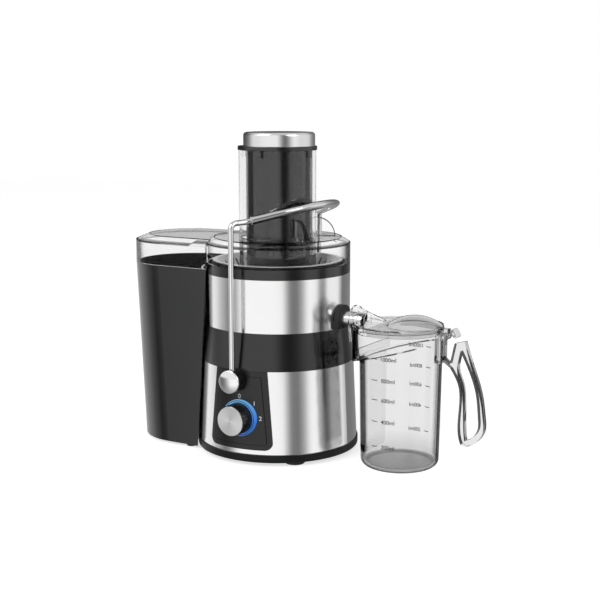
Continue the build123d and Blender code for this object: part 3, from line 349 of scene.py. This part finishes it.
def fade(value, low, high):
    """Mask that is whole below low and gone above high."""
    return stretch(value, low, high, 1.0, 0.0)


def clear_plastic(name, tint, painted_rim, turned, ior, painted_shade=None, painted_black=None, top=NO_TOP):
    """Clear wall whose upright faces, up to a top height, get painted shade where they turn away from
    the eye.

    Two functions say where the wall gets painted shade in its colour and where it is painted black.
    """
    material, start = new_finish(name)
    place = object_place(start)
    body = noise(start, place, HAZE_SCALE).blend(grey(tint - HAZE), grey(tint + HAZE))
    x, y, z = xyz(place)
    # Painted shade: each mask paints its tone into the plastic's colour.
    if painted_shade:
        for mask, tone in painted_shade(x, y, z):
            body = mask.blend(body, grey(tone))
    # Painted shade: the colour turns to the dark rim tone where an upright wall faces away from the
    # eye.
    facing = start.node("ShaderNodeLayerWeight", 1, None, {"Blend": 0.5})
    tilt = start.maths("ABSOLUTE", xyz(start.node("ShaderNodeNewGeometry", 1))[2])
    edge = stretch(facing, turned[0], turned[1]) * fade(tilt, UPRIGHT, LYING)
    edge = edge * fade(z, top, top + TOP_FADE)
    wall = start.node("ShaderNodeBsdfPrincipled", 0, None, {
        "Base Color": edge.blend(body, grey(painted_rim)),
        "Roughness": 0.0,
        "IOR": ior,
        "Transmission Weight": 1.0,
    })
    path = start.node("ShaderNodeLightPath", 1)
    ends = path.out.node.outputs
    glossy = Socket(start.tree, ends["Is Glossy Ray"])
    diffuse = Socket(start.tree, ends["Is Diffuse Ray"])
    bent = start.maths("MINIMUM", Socket(start.tree, ends["Transmission Depth"]), 1.0)
    mirrored = glossy * (1 - bent)
    easy = start.maths("MAXIMUM", start.maths("MAXIMUM", path, diffuse), mirrored)
    lit = start.node("ShaderNodeBsdfTransparent", 0, None, {"Color": grey(tint)})
    seen = start.node("ShaderNodeBsdfTransparent", 0, None, {"Color": grey(MIRRORED_TINT)})
    through = start.node("ShaderNodeMixShader", 0, None, {0: mirrored, 1: lit, 2: seen})
    surface = start.node("ShaderNodeMixShader", 0, None, {0: easy, 1: wall, 2: through})
    # Painted shade: where the mask says, the wall is painted black and opaque.
    if painted_black:
        painted_black_inputs = {"Base Color": grey(PAINTED_BLACK_TONE), "Roughness": PAINTED_BLACK_ROUGH}
        dark = start.node("ShaderNodeBsdfPrincipled", 0, None, painted_black_inputs)
        surface = start.node("ShaderNodeMixShader", 0, None, {0: painted_black(start), 1: surface, 2: dark})
    close_finish(surface)
    return material


# %% [markdown]
# Moulded edges are rounded and show as dark lines, painted here as painted shade. The cover has
# one along the edge of its top, one a little lower on the lobe over the bin, and one round each fin
# beside the chute. The jug's floor is thick and looks dark: a painted dark reflection, darker
# towards the bottom. The pouring lip has a painted dark lower edge, the lid's dome is painted
# greyer than its hood as painted shade, and the handle's inner walls are painted black as painted
# shade. These could be separate thin pieces, but they are edges of one moulding, so masks by place
# paint the shade into the plastic itself. Each finish is given by its tint, the tone of its painted
# dark rim, how far a wall turns from the eye before the rim starts and ends, and its index of
# refraction.

# %% Clear pieces
EDGE_Z, LOBE_EDGE_Z = 260.5 * MM, 257.5 * MM
LOBE_START_X = -86 * MM
EDGE_HALF, PAINTED_LINE_TONE = 1.6 * MM, 0.1
FIN_ROOT_R, FIN_ROOT_Z, FIN_R = 47.8 * MM, 267.5 * MM, 24 * MM
COVER_SIDE_TOP = 262 * MM
FLOOR_Z, FLOOR_FADE_Z = 4.5 * MM, 30 * MM
FLOOR_PAINTED_TONE, LOW_PAINTED_TONE, LOW_PAINTED_SHARE = 0.2, 0.4, 0.5
LIP_X, LIP_R = 164.5 * MM, 52 * MM
LIP_LOW_X, LIP_LOW_Z, LIP_SLOPE = 112.5 * MM, 124.6 * MM, math.tan(math.radians(15.7))
LIP_LINE, LIP_LINE_END = 0.7 * MM, 1.2 * MM
LIP_WALL, LIP_WALL_END = LIP_R - 1.6 * MM, LIP_R - 1.2 * MM
LIP_RIM, LIP_RIM_END = LIP_R + 0.2 * MM, LIP_R + 0.6 * MM
LIP_FLOOR_PAINTED_TONE, LIP_EDGE_PAINTED_TONE = 0.5, 0.01
DOME_X, DOME_PAINTED_TONE = 148 * MM, 0.66


def cover_painted_lines(x, y, z):
    """Painted dark lines along the edge of the top, and round the outline of the fins above their
    root and outside the chute.
    """
    edge = stretch(x, LOBE_START_X, LOBE_START_X + 1 * MM, LOBE_EDGE_Z, EDGE_Z)
    away = x.maths("ABSOLUTE", z - edge)
    out = x.maths("SQRT", x * x + y * y) - FIN_ROOT_R
    up = z - FIN_ROOT_Z
    fin = x.maths("SQRT", out * out + up * up)
    fin = stretch(fin, FIN_R - EDGE_HALF, FIN_R - 0.5 * EDGE_HALF) * stretch(up, 0.5 * MM, 1 * MM)
    fin = fin * stretch(out, 1 * MM, 2 * MM)
    # Painted shade: dark lines along the top's edge and round the fins.
    return [(fade(away, 0.5 * EDGE_HALF, EDGE_HALF), PAINTED_LINE_TONE), (fin, PAINTED_LINE_TONE)]


def jug_painted_shade(x, y, z):
    """Painted dark reflection on the floor, darker towards the bottom, and painted shade along the
    lower edge of the lip: pale on its floor and dark on its wall.
    """
    lip_x = x - LIP_X
    out = x.maths("SQRT", lip_x * lip_x + y * y)
    under = x.maths("ABSOLUTE", z - LIP_LOW_Z - LIP_SLOPE * (x - LIP_LOW_X))
    line = fade(under, LIP_LINE, LIP_LINE_END)
    wall = stretch(out, LIP_WALL, LIP_WALL_END)
    line = line * fade(out, LIP_RIM, LIP_RIM_END)
    # Painted dark reflection on the floor, and painted shade on the lip's lower edge.
    return [(stretch(z, FLOOR_Z, FLOOR_FADE_Z, LOW_PAINTED_SHARE, 0.0), LOW_PAINTED_TONE),
            (fade(z, FLOOR_Z, FLOOR_Z + 1 * MM), FLOOR_PAINTED_TONE),
            (line * (1 - wall), LIP_FLOOR_PAINTED_TONE),
            (line * wall, LIP_EDGE_PAINTED_TONE)]


def dome_painted_shade(x, y, z):
    """Painted shade on the dome of the lid, which starts behind the hood."""
    # Painted shade: the dome behind the hood is painted grey.
    return [(stretch(x, DOME_X, DOME_X + 1 * MM), DOME_PAINTED_TONE)]


def grip_painted_black(start):
    """Mask of the handle's walls that look towards the jug, which are painted black as painted shade.
    """
    normal = start.node("ShaderNodeNewGeometry", 1)
    back = Socket(start.tree, normal.out.node.outputs["Backfacing"])
    # Painted shade: walls that look towards the jug are painted black.
    return stretch(xyz(normal)[0] * (1 - 2 * back), -UPRIGHT, -LYING)


clear_cover = clear_plastic("clear_cover", 0.95, 0.004, (0.52, 0.74), 1.2, cover_painted_lines,
                            top=COVER_SIDE_TOP)
clear_jug = clear_plastic("clear_jug", 0.9, 0.004, (0.48, 0.66), 1.25, jug_painted_shade)
clear_lid = clear_plastic("clear_lid", 0.95, 0.05, (0.6, 0.85), 1.12, dome_painted_shade)
clear_handle = clear_plastic("clear_handle", 0.8, 0.1, (0.55, 0.85), 1.3, painted_black=grip_painted_black)
clear_bracket = clear_plastic("clear_bracket", 0.7, 0.05, (0.5, 0.8), 1.3)
clear_plate = clear_plastic("clear_plate", 0.95, 0.4, (0.5, 0.85), 1.15)
print("made", clear_cover.name, clear_jug.name, clear_lid.name, clear_handle.name,
      clear_bracket.name, clear_plate.name)

# %% [markdown]
# The ring round the knob is lit blue from behind. A lamp behind a clear ring would be the true
# way, but it is slow to render and grainy, so the ring itself glows. It has two bands with a
# groove between them, and a ramp over the distance from the knob's axis shapes them. The glow
# is painted paler towards the upper left, as a painted highlight.

# %% Blue light ring
RING_START, RING_WIDTH = 19.3 * MM, 2.9 * MM
RING_BANDS = [(0.0, 0.8), (0.25, 1.0), (0.35, 0.03), (0.72, 0.03), (0.84, 0.9), (1.0, 0.8)]
RING_HIGHLIGHT_REACH, RING_HIGHLIGHT_SIDE = 18 * MM, 0.7
RING_PLASTIC, RING_GROOVE = (0.03, 0.1, 0.3, 1), (0.003, 0.015, 0.06, 1)
RING_GLOW_BASE, RING_PAINTED_HIGHLIGHT = (0.04, 0.2, 0.7, 1), (0.25, 0.62, 0.9, 1)


def lit_ring():
    material, start = new_finish("lit_ring")
    x, y, z = xyz(about_knob(start))
    radius = start.maths("SQRT", x * x + z * z)
    share = (radius - RING_START) * (1 / RING_WIDTH)
    band = start.node("ShaderNodeValToRGB", 0, {"stops": RING_BANDS}, {0: share})
    # Painted highlight: the glow pales towards the upper left.
    across = RING_HIGHLIGHT_SIDE * z - RING_HIGHLIGHT_SIDE * x
    lamp = stretch(across, -RING_HIGHLIGHT_REACH, RING_HIGHLIGHT_REACH)
    glow = lamp.blend(RING_GLOW_BASE, RING_PAINTED_HIGHLIGHT)
    surface = start.node("ShaderNodeBsdfPrincipled", 0, None, {
        "Base Color": RING_PLASTIC,
        "Roughness": 0.3,
        "Emission Color": band.blend(RING_GROOVE, glow),
        "Emission Strength": 0.8,
    })
    close_finish(surface)
    return material


ring_blue = lit_ring()
print("made", ring_blue.name)

# %% [markdown]
# Each solid now gets its finish. Naming a finish for every node would be a long list, and most
# pieces of one plastic look the same. So a table goes by the record's material slots, and the few
# nodes that look different have their own entry.

# %% Dress the solids
BY_SLOT = {
    "black_plastic": black_satin, "panel_plastic": panel_black, "smoke_plastic": smoke_gloss,
    "brushed_steel": skin_steel, "steel": bare_steel, "chrome": chrome, "clear_plastic": clear_jug,
    "rubber": rubber, "light_blue": ring_blue, "aluminium": cast_alloy, "copper": copper,
    "white_plastic": white_nylon, "carbon": carbon, "circuit_board": board_green,
}
BY_NODE = {
    "pusher_cap": cap_steel, "knob_face": knob_metal, "pivot_caps": dome_chrome,
    "filter_basket": basket_steel, "base_pan": black_matt, "bin_shell": bin_satin,
    "clear_cover": clear_cover, "jug_lid": clear_lid, "jug_handle": clear_handle,
    "handle_bracket": clear_bracket, "froth_separator": clear_plate,
}
for part in frame["record"]["subparts"]:
    finish = BY_NODE.get(part["node"], BY_SLOT[part["material_slot"]])
    slots = nodes[part["node"]].data.materials
    slots.clear()
    slots.append(finish)
print("dressed", len(nodes), "solids")

# %% [markdown]
# The print on the panel and on the jug is text turned into a mesh. A picture on the wall could
# show it too, but the exported mesh would lose it. Flat text would stand off a round wall, so
# every point of the mesh is moved onto the wall: along the text becomes along the wall's circle.

# %% Text as a mesh
PRINT_DEPTH = 0.05 * MM
PRINT_WEIGHT = 0.08 * MM
LINE_CUTS = 3


def text_mesh(name, words, size, weight):
    bpy.ops.object.select_all(action="DESELECT")
    bpy.ops.object.text_add(location=(0, 0, 0))
    text = bpy.context.object
    text.data.body = words
    text.data.size = size
    text.data.extrude = PRINT_DEPTH
    text.data.offset = weight
    text.data.align_x = "CENTER"
    text.data.align_y = "CENTER"
    bpy.ops.object.convert(target="MESH")
    text.name = name
    return text


def bar_mesh(name, width, height):
    """Short printed line, cut into pieces along its length so that it can follow a circle."""
    bpy.ops.object.select_all(action="DESELECT")
    bpy.ops.mesh.primitive_cube_add(size=1)
    bar = bpy.context.object
    bar.name = name
    bpy.ops.transform.resize(value=(width, height, 2 * PRINT_DEPTH))
    bpy.ops.object.transform_apply(location=False, rotation=False, scale=True)
    bpy.ops.object.mode_set(mode="EDIT")
    bpy.ops.mesh.select_all(action="SELECT")
    bpy.ops.mesh.subdivide(number_cuts=LINE_CUTS)
    bpy.ops.object.mode_set(mode="OBJECT")
    return bar


def lay_on(piece, wall):
    """Moves each point of a flat print onto a wall given as a function of its flat place."""
    for point in piece.data.vertices:
        point.co = wall(*point.co)
    piece.data.update()


def print_piece(piece, body, finish):
    piece.data.materials.clear()
    piece.data.materials.append(finish)
    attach(piece, body)


# %% [markdown]
# The knob has three settings, printed in white on the panel's round face at the same distance
# from the knob's axis. The panel is part of a cone, so the print's distance from the motor axis
# grows towards the table, and a function of the height gives it.

# %% Knob settings
PANEL_LOW_R, PANEL_TOP_R = 101.3 * MM, 96.8 * MM
PANEL_LOW_Z, PANEL_TOP_Z = 14 * MM, 115 * MM
SETTING_RADIUS = 26 * MM
SETTING_SIZE = 7.4 * MM
SETTING_WEIGHT = 0.03 * MM
SETTINGS = {"0": 92, "1": 45, "2": 1}


def panel_radius(z):
    share = (z - PANEL_LOW_Z) / (PANEL_TOP_Z - PANEL_LOW_Z)
    return PANEL_LOW_R + (PANEL_TOP_R - PANEL_LOW_R) * share


def panel_wall(x, z):
    def place(u, v, w):
        r = panel_radius(z + v) + w
        return (x + u, -math.sqrt(r * r - (x + u) ** 2), z + v)

    return place


for words, turn in SETTINGS.items():
    x = face_centre.x + SETTING_RADIUS * math.cos(math.radians(turn))
    z = face_centre.z + SETTING_RADIUS * math.sin(math.radians(turn))
    mark = text_mesh("setting_" + words, words, SETTING_SIZE, SETTING_WEIGHT)
    lay_on(mark, panel_wall(x, z))
    print_piece(mark, "base", print_white)
print("printed", len(SETTINGS), "settings")

# %% [markdown]
# The jug's scale is printed twice, on its front and its back, each with a short line beside the
# number. The back one is seen through the clear wall, so it reads the wrong way round from the
# front. One function of angle and height places both, because the jug is a slender cone.

# %% Jug scale
JUG_X = 171.5 * MM
JUG_LOW_R, JUG_TOP_R, JUG_HEIGHT = 47 * MM, 50 * MM, 167 * MM
LEVELS = {200: 32, 400: 62.5, 600: 88.5, 800: 112, 1000: 137.5}
SCALE_SIZE = 6.8 * MM
LINE_LENGTH, LINE_HEIGHT = 8 * MM, 0.9 * MM
COLUMNS = {"front": (-82, -103), "back": (92, 70.5)}


def jug_wall(turn, height):
    def place(u, v, w):
        z = height + v
        r = JUG_LOW_R + (JUG_TOP_R - JUG_LOW_R) * z / JUG_HEIGHT + w
        angle = math.radians(turn) + u / r
        return (JUG_X + r * math.cos(angle), r * math.sin(angle), z)

    return place


for side, (number_turn, line_turn) in COLUMNS.items():
    for amount, height in LEVELS.items():
        number = text_mesh(f"scale_{side}_{amount}", f"{amount}ml", SCALE_SIZE, PRINT_WEIGHT)
        lay_on(number, jug_wall(number_turn, height * MM))
        print_piece(number, "jug", print_grey)
        line = bar_mesh(f"line_{side}_{amount}", LINE_LENGTH, LINE_HEIGHT)
        lay_on(line, jug_wall(line_turn, height * MM))
        print_piece(line, "jug", print_grey)
print("printed", 2 * len(LEVELS), "levels")

# %% [markdown]
# The studio is a white table without an edge. A brighter lamp would whiten it, but it would also
# bleach the object. So the table glows a little for the camera besides being lit, and the
# object's soft shadow still shows. Reflections pass through the table to the sky, because the
# steel would otherwise only mirror the table.

# %% White table
TABLE_SIZE = 8.0
TABLE_TONE, TABLE_GLOW = 0.55, 0.68
bpy.ops.object.select_all(action="DESELECT")
bpy.ops.mesh.primitive_plane_add(size=TABLE_SIZE)
table = bpy.context.object
table.name = "table"


def table_white():
    material, start = new_finish("table_white")
    path = start.node("ShaderNodeLightPath", 0)
    ends = path.out.node.outputs
    seen = start.maths("MAXIMUM", path, Socket(start.tree, ends["Is Transmission Ray"]))
    glossy = Socket(start.tree, ends["Is Glossy Ray"])
    lit = start.node("ShaderNodeBsdfDiffuse", 0, None, {"Color": grey(TABLE_TONE)})
    glow = start.node("ShaderNodeEmission", 0, None,
                      {"Color": grey(1.0), "Strength": TABLE_GLOW * seen})
    both = start.node("ShaderNodeAddShader", 0, None, {0: lit, 1: glow})
    clear = start.node("ShaderNodeBsdfTransparent", 0, None, {"Color": grey(1.0)})
    surface = start.node("ShaderNodeMixShader", 0, None, {0: glossy, 1: both, 2: clear})
    close_finish(surface)
    return material


table.data.materials.append(table_white())
print("table", TABLE_SIZE, "m wide")

# %% [markdown]
# The sky is white for the camera. In reflections it is a ring of tall white panels with dark gaps
# between them, as a photographer sets up for steel: the gaps draw the dark upright bands on the
# round metal. Real panels would throw light and shadow as well, so here they are tones of the sky
# by compass direction. An upper ring is for the cap and the chute, and grey above and below
# shades the rounded edges. Clear plastic looks out through a third ring, which darkens the
# pusher's left edge and its middle.

# %% Sky with panels and gaps
CAMERA_TURN = 30.3
PANELS = [(-180, 0.85), (-122, 0.9), (-112, 0.8), (-100, 0.5), (-91, 0.35), (-82, 0.15),
          (-75, 0.2), (-67, 0.45), (-60, 0.85), (-54, 1.0), (8, 1.0), (14, 0.55), (20, 0.2),
          (31, 0.15), (40, 0.4), (48, 0.9), (54, 1.0), (64, 0.9), (71, 0.25), (79, 0.25), (86, 0.9),
          (110, 0.9), (122, 0.15), (180, 0.3)]
UPPER_PANELS = [(-180, 0.06), (-133, 0.08), (-113, 0.2), (-97, 0.65), (-88, 0.85), (-5, 0.9),
                (2, 0.55), (10, 0.18), (19, 0.1), (29, 0.25), (39, 0.6), (49, 0.85), (70, 0.8),
                (110, 0.7), (125, 0.35), (140, 0.2), (180, 0.12)]
WINDOW = [(-180, 1.0), (-138, 1.0), (-128, 0.05), (-104, 0.05), (-92, 0.9), (0, 1.0), (6, 0.5),
          (12, 0.12), (24, 0.1), (33, 0.4), (41, 0.9), (95, 0.95), (105, 0.4), (128, 0.4), (138, 1.0),
          (180, 1.0)]
UPPER_START, UPPER_END = -0.12, -0.06
OVERHEAD_START, OVERHEAD_END, OVERHEAD_TONE = 0.4, 0.7, 0.6
UNDER_START, UNDER_END, UNDER_TONE = -0.3, -0.55, 0.35
SKY_TONE = 0.55


def compass_ramp(start, turn, stops):
    places = [(0.5 + degrees / 360, tone) for degrees, tone in stops]
    return start.node("ShaderNodeValToRGB", 0, {"stops": places}, {0: turn})


def sky():
    world = bpy.data.worlds.new("studio_sky")
    bpy.context.scene.world = world
    world.use_nodes = True
    world.node_tree.nodes.clear()
    start = Socket(world.node_tree)
    direction = start.node("ShaderNodeTexCoord", 0)
    turned = start.node("ShaderNodeVectorRotate", 0, {"rotation_type": "Z_AXIS"},
                        {"Vector": direction, "Angle": math.radians(90 - CAMERA_TURN)})
    x, y, z = xyz(turned)
    turn = 0.5 + start.maths("ARCTAN2", y, x) * (0.5 / math.pi)
    path = start.node("ShaderNodeLightPath", 0)
    ends = path.out.node.outputs
    glossy = Socket(start.tree, ends["Is Glossy Ray"])
    bent = Socket(start.tree, ends["Is Transmission Ray"])
    upper = stretch(z, UPPER_START, UPPER_END)
    mirrored = upper.blend(compass_ramp(start, turn, PANELS), compass_ramp(start, turn, UPPER_PANELS))
    overhead = stretch(z, OVERHEAD_START, OVERHEAD_END)
    mirrored = overhead.blend(mirrored, grey(OVERHEAD_TONE))
    below = stretch(z, UNDER_START, UNDER_END)
    mirrored = below.blend(mirrored, grey(UNDER_TONE))
    tone = glossy.blend(grey(SKY_TONE), mirrored)
    tone = bent.blend(tone, compass_ramp(start, turn, WINDOW))
    tone = path.blend(tone, grey(1.0))
    light = start.node("ShaderNodeBackground", 0, None, {"Color": tone, "Strength": 1.0})
    light.node("ShaderNodeOutputWorld", 0, None, {"Surface": light})


sky()
print("sky with", len(PANELS), "stops")

# %% [markdown]
# Two large soft lamps give the light a direction: a main one from the upper left in front, and a
# weaker one from the right. Small lamps would draw hard shadows, and soft ones keep the shadow on
# the table pale.

# %% Lamps


def soft_lamp(name, place, size, power, aim):
    bpy.ops.object.select_all(action="DESELECT")
    bpy.ops.object.light_add(type="AREA", location=place)
    lamp = bpy.context.object
    lamp.name = name
    lamp.data.shape = "SQUARE"
    lamp.data.size = size
    lamp.data.energy = power
    lamp.rotation_euler = (aim - lamp.location).to_track_quat("-Z", "Y").to_euler()
    return lamp


middle = (cad_low + cad_high) / 2
main_lamp = soft_lamp("main_lamp", place=(-0.9, -1.7, 1.9), size=1.4, power=26, aim=middle)
side_lamp = soft_lamp("side_lamp", place=(2.0, -0.6, 1.2), size=1.2, power=10, aim=middle)
print("lamps", main_lamp.data.energy, side_lamp.data.energy)

# %% [markdown]
# The camera stands 1.5 m away, turned 30 degrees towards the jug and looking down by 9 degrees,
# with a lens of 72 mm. It could be set by eye, but these numbers were worked out from the
# ellipses of the round pieces, so that every piece falls where the photograph has it.

# %% Camera
CAMERA_DISTANCE = 1.488
CAMERA_SIDE = 0.0278
CAMERA_HEIGHT = 0.433
CAMERA_PITCH = 9.41
LENS, SENSOR_WIDTH = 72, 36
CLIP_START = 0.05
turn = math.radians(CAMERA_TURN)
eye = (CAMERA_SIDE * math.cos(turn) + CAMERA_DISTANCE * math.sin(turn),
       CAMERA_SIDE * math.sin(turn) - CAMERA_DISTANCE * math.cos(turn), CAMERA_HEIGHT)
bpy.ops.object.select_all(action="DESELECT")
bpy.ops.object.camera_add(location=eye, rotation=(math.radians(90 - CAMERA_PITCH), 0, turn))
camera = bpy.context.object
camera.data.lens = LENS
camera.data.sensor_width = SENSOR_WIDTH
camera.data.clip_start = CLIP_START
bpy.context.scene.camera = camera
bpy.context.scene.view_settings.view_transform = "Standard"
print("camera at", [round(v, 3) for v in eye])
